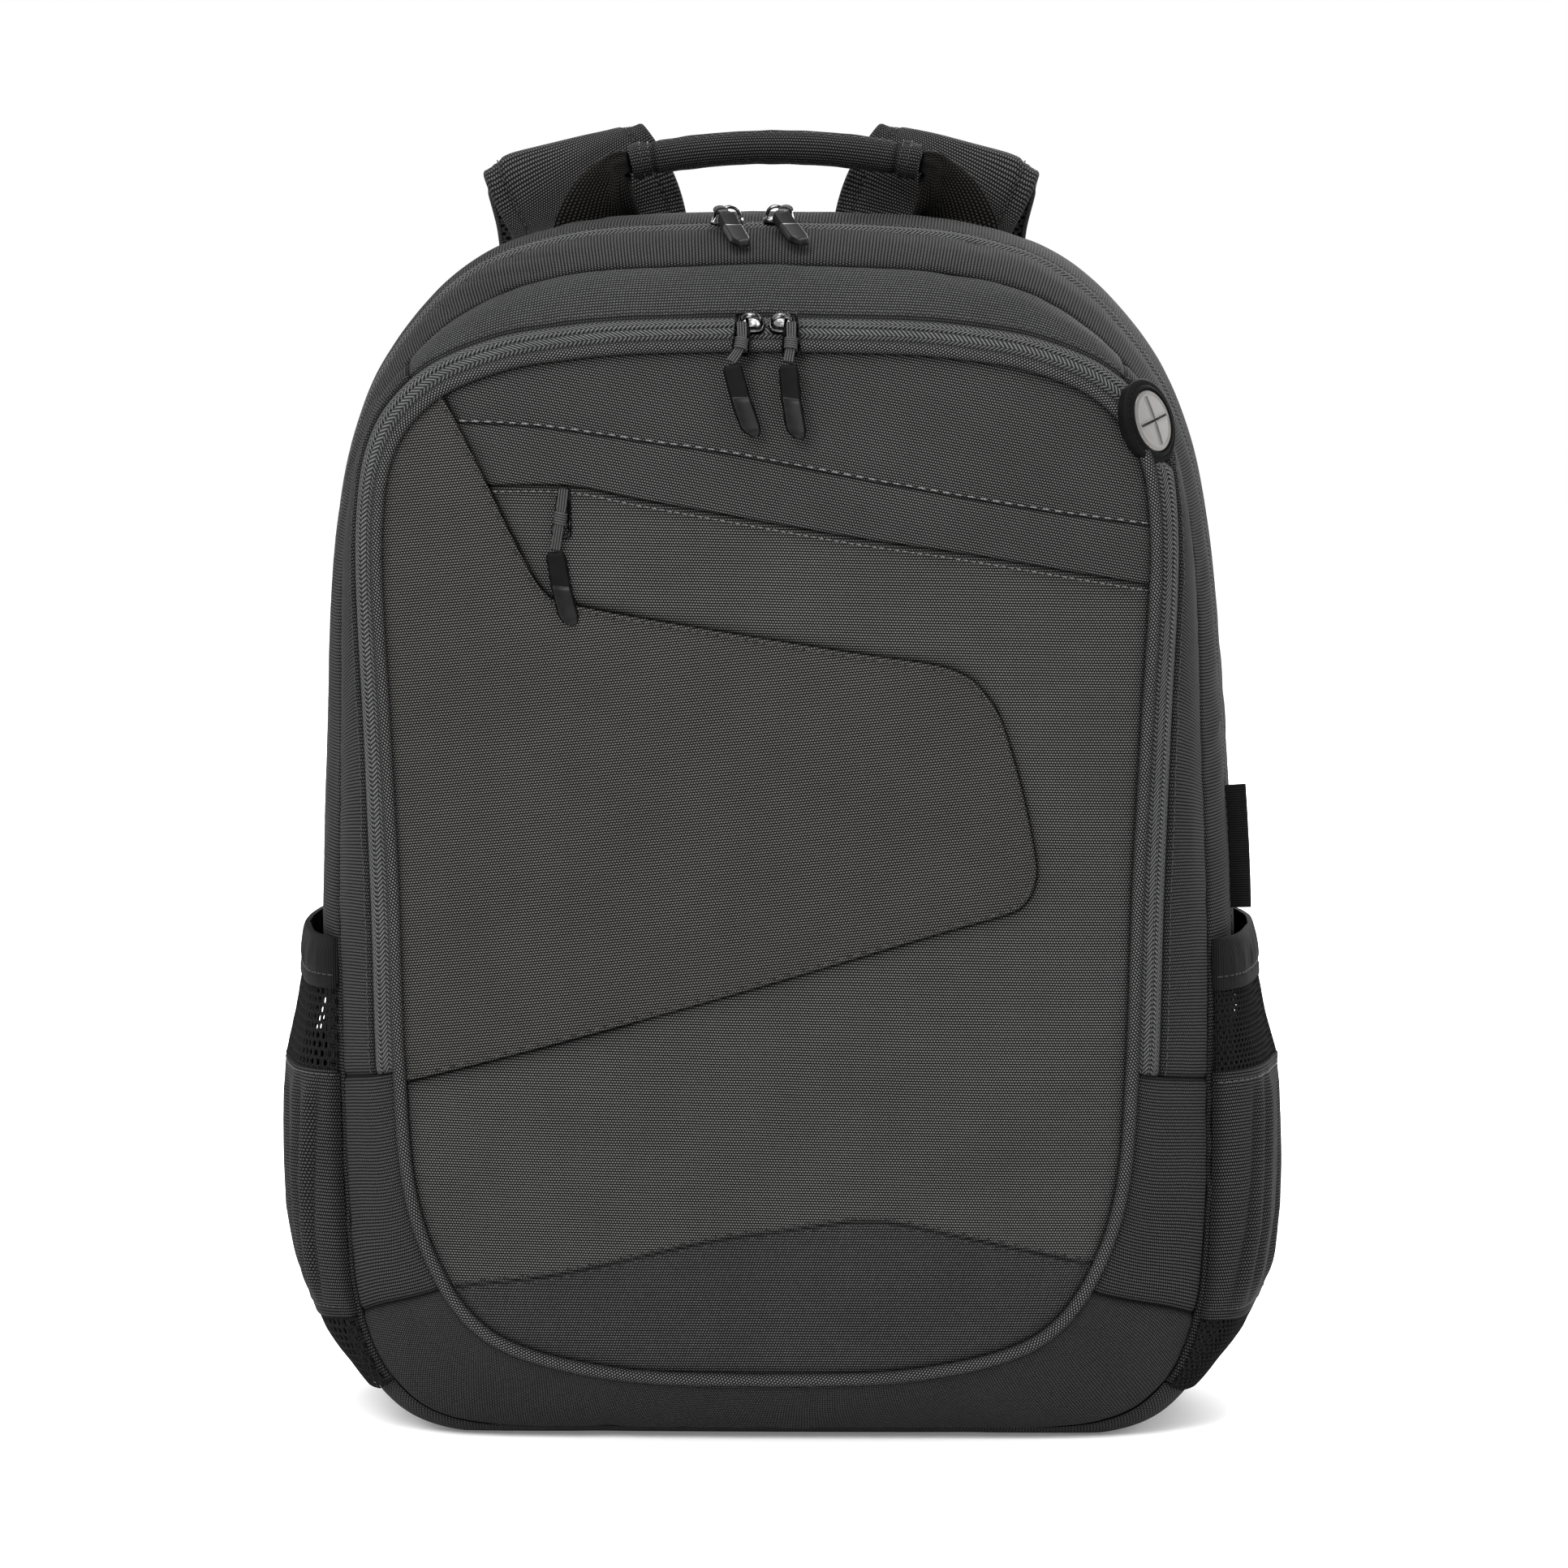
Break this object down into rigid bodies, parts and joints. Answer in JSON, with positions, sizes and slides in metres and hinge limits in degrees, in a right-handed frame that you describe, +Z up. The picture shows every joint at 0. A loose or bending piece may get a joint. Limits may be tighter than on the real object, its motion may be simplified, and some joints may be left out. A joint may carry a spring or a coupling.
{
  "type": "laptop backpack",
  "caption": "Upright laptop backpack with a piped, domed front panel, side pockets with mesh, a padded top handle, a cable port and padded shoulder straps.",
  "frame": {"origin": "middle of the flat base, on the floor it stands on", "axes": "+Z up, -Y out of the front panel, +X to the wearer's left, which is the right of the picture"},
  "size_m": [0.3909, 0.2313, 0.5014],
  "materials": {
    "cloth": "coarse two-tone weave, matte",
    "fine_cloth": "fine weave, matte",
    "base_cloth": "coarse weave, matte",
    "zip_tape": "herringbone tape",
    "netting": "open mesh cloth",
    "webbing": "woven webbing",
    "rubber": "satin",
    "plastic": "satin",
    "port_disc": "satin, metallic coated",
    "dark_metal": "blackened, polished"
  },
  "bodies": {
    "root": {"front_top_panel": "cloth", "pocket_flap": "cloth", "front_panel": "cloth", "tongue_panel": "cloth", "front_gusset_left": "cloth", "front_gusset_right": "cloth", "lower_side_left": "cloth", "lower_side_right": "cloth", "main_gusset": "cloth", "zip_foot_left": "cloth", "zip_foot_right": "cloth", "rear_gusset": "cloth", "pocket_band_left": "cloth", "pocket_band_right": "cloth", "handle_grip": "cloth", "strap_left": "cloth", "strap_right": "cloth", "bottom_insert": "fine_cloth", "piping": "fine_cloth", "front_gusset_top": "fine_cloth", "boot": "fine_cloth", "base_panel": "base_cloth", "front_zip": "zip_tape", "main_zip": "zip_tape", "back_panel": "netting", "pocket_hem_left": "netting", "pocket_hem_right": "netting", "pocket_mesh_left": "netting", "pocket_mesh_right": "netting", "pocket_foot_left": "netting", "pocket_foot_right": "netting", "label_tab": "webbing", "handle_web_left": "webbing", "handle_web_right": "webbing", "lower_web_left": "webbing", "lower_web_right": "webbing", "front_pull_left_cord": "webbing", "front_pull_right_cord": "webbing", "main_pull_left_cord": "webbing", "main_pull_right_cord": "webbing", "pocket_pull_cord": "webbing", "port_surround": "rubber", "front_pull_left_grip": "rubber", "front_pull_right_grip": "rubber", "main_pull_left_grip": "rubber", "main_pull_right_grip": "rubber", "pocket_pull_grip": "rubber", "ladder_lock_left": "plastic", "ladder_lock_right": "plastic", "port_disc": "port_disc", "front_pull_left_slider": "dark_metal", "front_pull_left_frame": "dark_metal", "front_pull_right_slider": "dark_metal", "front_pull_right_frame": "dark_metal", "main_pull_left_slider": "dark_metal", "main_pull_left_frame": "dark_metal", "main_pull_right_slider": "dark_metal", "main_pull_right_frame": "dark_metal", "pocket_pull_frame": "dark_metal"}
  },
  "joints": []
}
